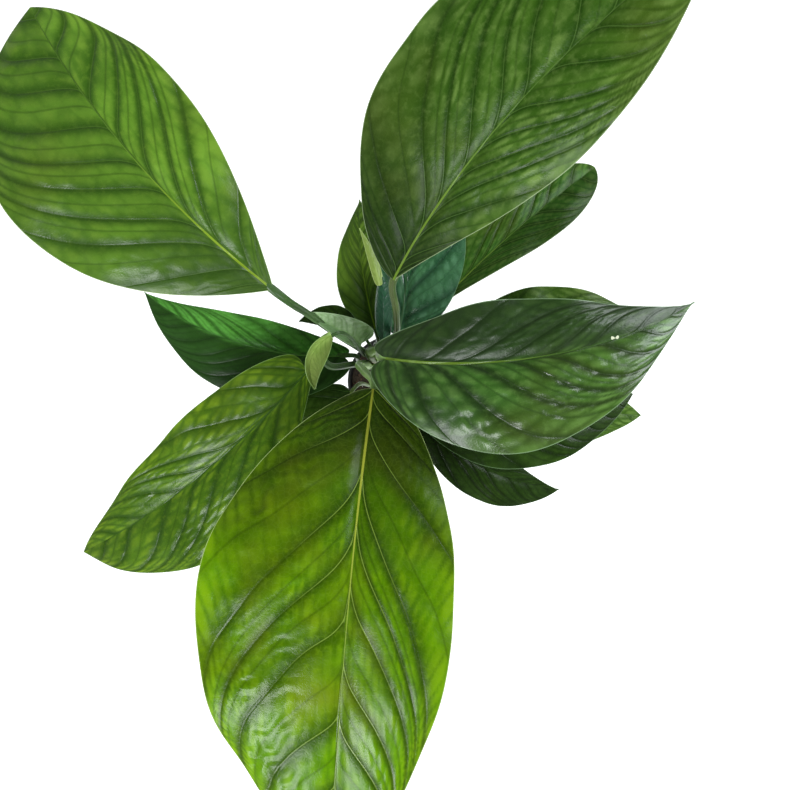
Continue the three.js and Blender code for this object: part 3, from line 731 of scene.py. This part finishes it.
class Graph:
    """A short way to write the node graph of a material or world. Most methods return an output socket."""

    def __init__(self, name, kind="materials"):
        self.owner = getattr(bpy.data, kind).new(name)
        self.owner.use_nodes = True
        self.tree = self.owner.node_tree

    def put(self, socket, value):
        """Links or sets an input. Three numbers are a colour as the eye reads it."""
        if isinstance(value, bpy.types.NodeSocket):
            self.tree.links.new(value, socket)
        else:
            is_colour = isinstance(value, tuple) and len(value) == 3
            socket.default_value = srgb(*value) if is_colour else value

    def node(self, kind, output, inputs, **settings):
        node = self.tree.nodes.new(f"ShaderNode{kind}")
        for key, value in settings.items():
            setattr(node, key, value)
        for key, value in inputs.items():
            self.put(node.inputs[key], value)
        return node.outputs[output]

    def field(self, name):
        return self.node("Attribute", "Fac", {}, attribute_name=name)

    def math(self, operation, a, b=0):
        return self.node("Math", 0, {0: a, 1: b}, operation=operation)

    def add(self, a, b):
        return self.math("ADD", a, b)

    def times(self, a, b):
        return self.math("MULTIPLY", a, b)

    def ramp(self, value, low, high, start=0, end=1):
        inputs = {"Value": value, "From Min": low, "From Max": high, "To Min": start, "To Max": end}
        return self.node("MapRange", 0, inputs, interpolation_type="SMOOTHSTEP")

    def mix(self, share, a, b):
        return self.node("Mix", 2, {"Factor": share, 6: a, 7: b}, data_type="RGBA")

    def noise(self, scale, detail=3, rough=0.55):
        place = self.node("TexCoord", "Object", {})
        inputs = {"Vector": place, "Scale": scale, "Detail": detail, "Roughness": rough}
        return self.node("TexNoise", "Fac", inputs)

    def crackle(self, scale, feature="DISTANCE_TO_EDGE"):
        place = self.node("TexCoord", "Object", {})
        return self.node("TexVoronoi", "Distance", {"Vector": place, "Scale": scale}, feature=feature)

    def bump(self, height, distance, strength):
        return self.node("Bump", "Normal", {"Height": height, "Distance": distance, "Strength": strength})

    def finish(self, shader="Principled BSDF", **inputs):
        for key, value in inputs.items():
            self.put(self.tree.nodes[shader].inputs[key.replace("_", " ")], value)
        return self.owner


def leaf_fields(g):
    """The blade's fields, and the distances to the side veins and to the faint lines between them."""
    names = ("u", "across", "count", "pitch", "cells", "from_midrib", "edge", "under", "scar")
    f = SimpleNamespace(**{name: g.field(name) for name in names})
    off_middle = g.math("ABSOLUTE", g.math("SUBTRACT", g.math("FRACT", f.count), 0.5))
    f.off_vein = g.math("SUBTRACT", 0.5, off_middle)
    f.to_vein = g.times(f.off_vein, f.pitch)
    f.to_between = g.times(off_middle, f.pitch)
    return f


def tissue_colour(g, f, look):
    """Tissue with painted light and shade of the quilting (lighter bands between the side veins, darker beside
    them), paler blisters in a dark net (partly the tissue's own mottling, partly painted highlight and shade
    on the bumps), olive patches and a bright margin of painted light through the thin edge.
    """
    # Painted light and shade of the quilting: darker beside the side veins, lighter mid-way between them.
    lit_band = g.ramp(f.off_vein, 0.02, 0.36)
    cloud = g.ramp(g.noise(16), 0.3, 0.7, 0.35, 1)
    colour = g.mix(g.times(lit_band, cloud), look.dark, look.light)
    # Paler blister tops: partly the tissue's own mottling, partly painted highlight on the bumps.
    spot = g.ramp(g.noise(34), 0.4, 0.68, 0.1, 1.5 * look.spots)
    crown = g.times(g.ramp(f.cells, 0.15, 0.9), g.times(spot, lit_band))
    colour = g.mix(crown, colour, look.top)
    colour = g.mix(g.ramp(g.noise(260, 4), 0.45, 0.75, 0, 0.25), colour, look.top)
    colour = g.mix(g.ramp(g.noise(95), 0.42, 0.7, 0, 0.3), colour, look.dark)
    colour = g.mix(g.ramp(g.noise(11), 0.48, 0.72, 0, look.warm), colour, look.olive)
    # Painted light through the thin margin: a brighter band along the edge, broken by the blisters.
    glow = g.ramp(f.edge, 1, 18, look.glow, 0)
    margin = g.times(glow, g.ramp(f.cells, 0, 0.7, 0.3, 1))
    colour = g.mix(margin, colour, look.top)
    # A darker net where the blisters meet: partly fine veins, partly painted shade between the bumps.
    net = g.times(g.ramp(f.cells, 0, 0.2, 1, 0), 0.5 * look.spots)
    return g.mix(net, colour, look.dark)


def midrib_share(g, f):
    """The midrib's line, which narrows and fades towards the tip."""
    width = g.ramp(f.u, 0, 0.6, 0.8, 0.22)
    fade = g.ramp(f.u, 0.35, 0.85, 1, 0.25)
    line = g.ramp(g.math("DIVIDE", f.from_midrib, width), 0.6, 1.3, 1, 0)
    return g.times(line, fade)


def vein_colour(g, f, look, colour, faint, rib):
    """Painted shade in the creases, with a pale side vein in each, a fine net, painted shade along the faint
    lines between, and the midrib.
    """
    # Painted shade in the crease over each side vein.
    colour = g.mix(g.ramp(f.to_vein, 0.2, 2.2, look.groove, 0), colour, look.deep)
    colour = g.mix(g.ramp(g.crackle(300), 0, 0.08, 0.07, 0), colour, look.vein)
    fade = g.ramp(f.from_midrib, 6, 42, look.line, 0)
    line = g.times(g.ramp(f.to_vein, 0.12, 0.42, 1, 0), fade)
    colour = g.mix(line, colour, look.vein)
    colour = g.mix(faint, colour, look.deep)
    rib_colour = g.mix(g.ramp(f.u, 0.1, 0.7), look.midrib, look.vein)
    return g.mix(rib, colour, rib_colour)


def underside_colour(g, f, look, faint, rib):
    """Paler tissue with raised, lighter veins."""
    below = g.mix(g.times(f.cells, 0.35), look.under, look.light)
    below = g.mix(g.ramp(g.noise(70, 4), 0.35, 0.7, 0, 0.4), below, look.light)
    below = g.mix(g.ramp(f.to_vein, 0.3, 1.1, 0.75, 0), below, look.midrib)
    below = g.mix(faint, below, look.light)
    return g.mix(rib, below, look.midrib)


def leaf_skin(g, f, shade):
    """The roughness, matt below and in the shaded parts, and the fine bumps."""
    gloss = g.ramp(g.noise(60), 0.3, 0.7, 0.22, 0.34)
    matt = g.add(g.times(f.under, 0.25), g.times(shade, 0.12))
    grain = g.times(g.noise(900, 2), 0.12)
    dimple = g.times(g.ramp(g.crackle(300), 0, 0.14), 0.03)
    crease = g.ramp(f.to_vein, 0, 1.2, 0, 0.25)
    soft = g.times(g.noise(110, 2, 0.4), 0.5)
    height = g.add(g.add(grain, dimple), g.add(crease, soft))
    return g.add(gloss, matt), g.bump(height, 0.001, 0.6)


def leaf_material(name, look):
    g = Graph(name)
    f = leaf_fields(g)
    look = SimpleNamespace(**{**PLAIN_LOOK, **look})
    left, right = look.halves
    shade = g.add(g.ramp(f.u, 0, 0.5, look.base, 0), g.ramp(f.across, -0.1, 0.1, right, left))
    # On top, painted shade along the faint lines between the side veins; on the underside the same lines are
    # drawn lighter.
    faint = g.times(g.ramp(f.to_between, 0.1, 1, 0.8, 0), look.groove)
    rib = midrib_share(g, f)
    colour = tissue_colour(g, f, look)
    colour = g.mix(g.math("MINIMUM", shade, 0.85), colour, look.deep)
    colour = vein_colour(g, f, look, colour, faint, rib)
    scar = g.add(f.scar, g.noise(300))
    colour = g.mix(g.ramp(scar, 1.05, 1.15), colour, SCAR)
    # A thin pale rim: painted highlight along the edge.
    colour = g.mix(g.ramp(f.edge, 0.25, 0.65, 0.75, 0), colour, look.rim)
    colour = g.mix(f.under, colour, underside_colour(g, f, look, faint, rib))
    rough, normal = leaf_skin(g, f, shade)
    return g.finish(Base_Color=colour, Roughness=rough, Specular_IOR_Level=look.gloss, Normal=normal)


def petiole_material(name, dark, light, channel):
    g = Graph(name)
    streak = g.noise(45, 4)
    colour = g.mix(g.ramp(streak, 0.32, 0.7), dark, light)
    # The grooved side leans to the channel colour: painted shade in the channel.
    front = g.ramp(g.field("round"), 0.45, 0.95)
    colour = g.mix(g.times(front, 0.6), colour, channel)
    foot = g.ramp(g.field("u"), 0, 0.12, 0.7, 0)
    colour = g.mix(foot, colour, (92, 106, 56))
    fleck = g.ramp(g.noise(700, 2), 0.62, 0.72, 0, 0.3)
    colour = g.mix(fleck, colour, (128, 150, 94))
    normal = g.bump(g.noise(500, 3), 0.00012, 0.5)
    rough = g.ramp(streak, 0.3, 0.7, 0.3, 0.42)
    return g.finish(Base_Color=colour, Roughness=rough, Specular_IOR_Level=PETIOLE_GLOSS, Normal=normal)


def stem_material():
    g = Graph("stem_skin")
    streak = g.noise(60, 4)
    colour = g.mix(g.ramp(streak, 0.3, 0.7), (72, 96, 40), (108, 132, 62))
    colour = g.mix(g.times(g.field("ring"), 0.75), colour, (126, 112, 74))
    bark = g.ramp(g.noise(180, 5), 0.5, 0.66, 0, 0.5)
    colour = g.mix(bark, colour, (96, 88, 54))
    colour = g.mix(g.field("bud"), colour, (142, 178, 96))
    normal = g.bump(g.noise(400, 4), 0.0003, 0.6)
    return g.finish(Base_Color=colour, Roughness=0.5, Normal=normal)


def pot_material():
    g = Graph("pot_plastic")
    cloud = g.noise(30, 4)
    colour = g.mix(g.ramp(cloud, 0.3, 0.75), (24, 24, 25), (38, 38, 39))
    dust = g.ramp(g.noise(160, 5), 0.58, 0.75, 0, 0.4)
    colour = g.mix(dust, colour, (74, 68, 60))
    rough = g.ramp(g.noise(90, 4), 0.3, 0.7, 0.38, 0.55)
    normal = g.bump(g.noise(1400, 3), 0.00008, 0.5)
    return g.finish(Base_Color=colour, Roughness=rough, Normal=normal)


def soil_material():
    g = Graph("potting_mix")
    colour = g.mix(g.ramp(g.noise(120, 6), 0.35, 0.7), (22, 17, 12), (50, 38, 27))
    crumb = g.ramp(g.crackle(420, "F1"), 0, 0.5)
    colour = g.mix(g.times(crumb, 0.5), colour, (64, 49, 35))
    normal = g.bump(g.add(g.noise(500, 6), crumb), 0.0012, 1)
    return g.finish(Base_Color=colour, Roughness=0.95, Normal=normal)


def chip_material(name, dark, light):
    g = Graph(name)
    colour = g.mix(g.ramp(g.noise(350, 4), 0.3, 0.7), dark, light)
    normal = g.bump(g.noise(900, 4), 0.0004, 0.8)
    return g.finish(Base_Color=colour, Roughness=0.9, Normal=normal)


# Pot and soil


def lathe(profile, sides):
    """Rings of points round the upright axis, one for each radius and height of the profile."""
    angle = np.linspace(0, 2 * np.pi, sides, endpoint=False)
    profile = np.asarray(profile, float)
    radius, height = profile[:, :1], profile[:, 1:]
    return np.stack([radius * np.cos(angle), radius * np.sin(angle), np.repeat(height, sides, 1)], -1)


def turned_faces(rows, sides):
    """Faces of a turned form whose first and last rings are closed flat."""
    ring = np.arange(sides)
    caps = np.stack([ring[::-1], (rows - 1) * sides + ring])
    return [grid_faces(rows, sides, 0, wrap=True, flip=True), caps]


def rounded(profile, radius=0.45, steps=3):
    """The profile with each inner corner turned into a small curve."""
    profile = np.array(profile, float)
    points = [profile[0]]
    for before, here, after in zip(profile, profile[1:], profile[2:]):
        sides = [before - here, after - here]
        lengths = [np.linalg.norm(side) for side in sides]
        reach = min(radius, 0.45 * lengths[0], 0.45 * lengths[1])
        a, b = (here + side / length * reach for side, length in zip(sides, lengths))
        points += [(1 - t) ** 2 * a + 2 * t * (1 - t) * here + t * t * b for t in np.linspace(0, 1, steps + 1)]
    return [*points, profile[-1]]


def pot_piece(material):
    profile = rounded([
        (CENTRE_RADIUS, 0),
        (POT_FOOT_RADIUS - 1.5, 0),
        (POT_FOOT_RADIUS, 1.5),
        (POT_SHOULDER_RADIUS, POT_SHOULDER_HEIGHT),
        (POT_COLLAR_RADIUS, POT_SHOULDER_HEIGHT + 2),
        (POT_COLLAR_RADIUS + 1, POT_HEIGHT - 4),
        (POT_RIM_RADIUS, POT_HEIGHT - 3),
        (POT_RIM_RADIUS, POT_HEIGHT),
        (POT_COLLAR_RADIUS + 1 - POT_WALL, POT_HEIGHT),
        (POT_COLLAR_RADIUS - POT_WALL, POT_SHOULDER_HEIGHT + 3),
        (POT_SHOULDER_RADIUS - POT_WALL, POT_SHOULDER_HEIGHT + 1),
        (POT_FOOT_RADIUS - POT_WALL, POT_FLOOR),
        (CENTRE_RADIUS, POT_FLOOR),
    ])
    points = lathe(profile, POT_SIDES).reshape(-1, 3)
    piece = make_mesh("nursery_pot", points, turned_faces(len(profile), POT_SIDES), sharp=35)
    cutter = drain_cutter()
    cut = piece.modifiers.new("drain_holes", "BOOLEAN")
    cut.object = cutter
    cut.operation = "DIFFERENCE"
    bake_modifiers(piece)
    bpy.data.objects.remove(cutter)
    piece.data.materials.append(material)
    return piece


def drain_cutter():
    """A ring of rods that cut the drain holes."""
    rod = [(DRAIN_HOLE_RADIUS, -POT_FLOOR), (DRAIN_HOLE_RADIUS, 2 * POT_FLOOR)]
    points, faces = [], []
    for hole in range(DRAIN_HOLES):
        turn = 2 * np.pi * (hole + 0.5) / DRAIN_HOLES
        middle = DRAIN_CIRCLE_RADIUS * np.array([math.cos(turn), math.sin(turn), 0])
        faces += [group + 2 * DRAIN_SIDES * hole for group in turned_faces(2, DRAIN_SIDES)]
        points.append(lathe(rod, DRAIN_SIDES).reshape(-1, 3) + middle)
    return make_mesh("drain_cutter", np.concatenate(points), faces)


def bake_modifiers(piece):
    """The piece's mesh becomes what its modifiers make of it."""
    graph = bpy.context.evaluated_depsgraph_get()
    made = bpy.data.meshes.new_from_object(piece.evaluated_get(graph))
    piece.modifiers.clear()
    old = piece.data
    piece.data = made
    bpy.data.meshes.remove(old)


def soil_top(x, y):
    """The height of the potting mix: a low mound, gently lumpy."""
    share = np.clip(np.hypot(x, y) / SOIL_EDGE, 0, 1)
    points = np.stack([x, y, 0 * x], -1)
    return (
        SOIL_HEIGHT + SOIL_MOUND * (1 - share**2)
        + 0.7 * waves(points, 5, 40) + 0.5 * waves(points, 6, 14) + 0.35 * waves(points, 8, 6)
    )


def soil_piece(material):
    clear = POT_WALL + GAP
    walls = [
        (CENTRE_RADIUS, POT_FLOOR + GAP),
        (POT_FOOT_RADIUS - clear, POT_FLOOR + GAP),
        (POT_SHOULDER_RADIUS - clear, POT_SHOULDER_HEIGHT + 1),
        (SOIL_EDGE, POT_SHOULDER_HEIGHT + 4),
    ]
    radii = SOIL_EDGE * np.linspace(1, 0, SOIL_RINGS) ** 0.8
    radii[-1] = CENTRE_RADIUS
    profile = walls + [(radius, 0) for radius in radii]
    rings = lathe(profile, SOIL_SIDES)
    top = rings[len(walls) :]
    draw = np.random.default_rng(11)
    top[..., 2] = soil_top(top[..., 0], top[..., 1]) + draw.uniform(-0.35, 0.35, top.shape[:2])
    top[-1, :, 2] = top[-1, :, 2].mean()
    faces = turned_faces(len(profile), SOIL_SIDES)
    return make_mesh("potting_mix", rings.reshape(-1, 3), faces, material, sharp=50)


def ball():
    """The corners and the outward triangles of a twenty-sided ball."""
    golden = (1 + 5**0.5) / 2
    pairs = [(x, y * golden) for y in (1, -1) for x in (-1, 1)]
    corners = [(x, y, 0) for x, y in pairs] + [(0, x, y) for x, y in pairs] + [(y, 0, x) for x, y in pairs]
    corners = np.array(corners) / math.hypot(1, golden)
    triangles = []
    for three in combinations(range(12), 3):
        a, b, c = corners[list(three)]
        if max(np.linalg.norm(side) for side in (a - b, b - c, c - a)) < 1.2:
            outward = np.cross(b - a, c - a) @ (a + b + c) > 0
            triangles.append(three if outward else three[::-1])
    return corners, np.array(triangles)


def crumbs(name, count, size, flatness, seed, material):
    """Loose angular bits lying on the soil, each a squashed and dented ball, in one mesh."""
    draw = np.random.default_rng(seed)
    corners, triangles = ball()
    points, faces = [], []
    while len(points) < count:
        radius = CRUMB_SPREAD * math.sqrt(draw.uniform(0, 1))
        turn = draw.uniform(0, 2 * math.pi)
        x, y = radius * math.cos(turn), radius * math.sin(turn)
        grain = draw.uniform(*size)
        dents = draw.uniform(0.7, 1.2, (len(corners), 1))
        shape = corners * dents * grain * np.array([1, draw.uniform(0.5, 1), flatness])
        spin = draw.uniform(0, 2 * math.pi)
        tilt = draw.normal(0, 0.35)
        if near_stem(x, y, grain):
            continue
        c, s = math.cos(spin), math.sin(spin)
        shape = shape @ np.array([[c, s, 0], [-s, c, 0], [0, 0, 1]])
        c, s = math.cos(tilt), math.sin(tilt)
        shape = shape @ np.array([[1, 0, 0], [0, c, s], [0, -s, c]])
        z = float(soil_top(np.array(x), np.array(y))) + grain * flatness * 0.3
        faces.append(triangles + len(corners) * len(points))
        points.append(shape + np.array([x, y, z]))
    return make_mesh(name, np.concatenate(points), faces, material, sharp=25)


def near_stem(x, y, margin):
    feet = [(stem_point(stem, SOIL_HEIGHT), stem["radius"]) for stem in STEMS.values()]
    return any(math.hypot(x - foot[0], y - foot[1]) < radius + margin for foot, radius in feet)


# Setting


def floor_piece():
    g = Graph("studio_floor")
    white = (1, 1, 1, 1)
    tint = g.mix(g.ramp(g.noise(3, 2), 0.3, 0.7), (0.92, 0.92, 0.92, 1), (0.95, 0.95, 0.95, 1))
    material = g.finish(Base_Color=tint, Roughness=0.9, Emission_Color=white, Emission_Strength=FLOOR_GLOW)
    corners = FLOOR_HALF_WIDTH * np.array([(-1, -1, 0), (1, -1, 0), (1, 1, 0), (-1, 1, 0)])
    floor = make_mesh("studio_floor", corners - [0, 0, FLOOR_DROP], [[[0, 1, 2, 3]]], material)


def area_light(name, place, size, power, colour):
    lamp = bpy.data.lights.new(name, "AREA")
    lamp.shape = "RECTANGLE"
    lamp.size, lamp.size_y = size
    lamp.energy = power
    lamp.color = colour
    place = np.array(place, float)
    back = place - np.array(LAMP_AIM)
    back /= np.linalg.norm(back)
    side = np.cross([0, 1, 0], back)
    side /= np.linalg.norm(side)
    upward = np.cross(back, side)
    rows = [(side[i], upward[i], back[i], place[i]) for i in range(3)]
    add_object(name, lamp).matrix_world = Matrix([*rows, (0, 0, 0, 1)])


def room_light():
    """A room that is bright at the sides and dim overhead."""
    g = Graph("soft_room", "worlds")
    upward = g.node("SeparateXYZ", "Z", {0: g.node("TexCoord", "Generated", {})})
    steps = {"Value": upward, "From Min": 0.3, "From Max": 0.95, "To Min": SIDE_LIGHT, "To Max": TOP_LIGHT}
    strength = g.node("MapRange", 0, steps)
    bpy.context.scene.world = g.finish("Background", Color=(1, 1, 1, 1), Strength=strength)


def studio():
    room_light()
    for name, place, size, power, colour in LAMPS:
        area_light(name, place, size, power, colour)
    scene = bpy.context.scene
    scene.view_settings.view_transform = "Standard"
    scene.view_settings.look = "None"
    lens = bpy.data.cameras.new("phone")
    lens.lens = LENS
    lens.sensor_width = SENSOR_WIDTH
    lens.clip_start = 0.01
    scene.camera = add_object("camera", lens)
    scene.camera.location = CAMERA_PLACE


def seat(piece, slot, *nodes):
    """Hangs a piece under the root and hides the imported parts that it takes the place of."""
    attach(piece, "root")
    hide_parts(*nodes)


def build():
    for stem in STEMS.values():
        stem["line"] = smooth_curve(stem["points"], 400)
    blades = {name: leaf_material(f"{name}_blade", look) for name, look in LOOKS.items()}
    stalks = {look: petiole_material(f"{look}_petiole", *PETIOLES.get(look, PLAIN_SKIN)) for look in LOOKS}
    for seed, (node, given) in enumerate(LEAVES.items()):
        leaf = {**PLAIN, **given}
        look = leaf["look"]
        slot = SLOTS.get(look, "leaf")
        seat(blade_piece(f"{node}_blade", leaf, 100 + seed, blades[look]), slot, node)
        seat(petiole_piece(f"{node}_petiole", leaf, stalks[look]), slot, node)
    for seed, (name, (node, given)) in enumerate(WINGS.items()):
        wing = {**PLAIN, **given}
        seat(blade_piece(name, wing, 200 + seed, blades[wing["look"]]), "young_leaf", node)
    skin = stem_material()
    for key, stem in STEMS.items():
        seat(stem_piece(f"{key}_stem", stem, skin), "stem", f"stem_{key}")
    seat(pot_piece(pot_material()), "pot", "pot")
    seat(soil_piece(soil_material()), "soil", "soil")
    bark = chip_material("bark_chip", (38, 26, 17), (80, 57, 37))
    perlite = chip_material("perlite_grain", (196, 192, 182), (232, 230, 224))
    seat(crumbs("bark_chips", 260, (1.2, 3.4), 0.45, 21, bark), "soil", "soil")
    seat(crumbs("perlite_grains", 90, (0.6, 1.5), 0.85, 22, perlite), "soil", "soil")


build()
floor_piece()
studio()
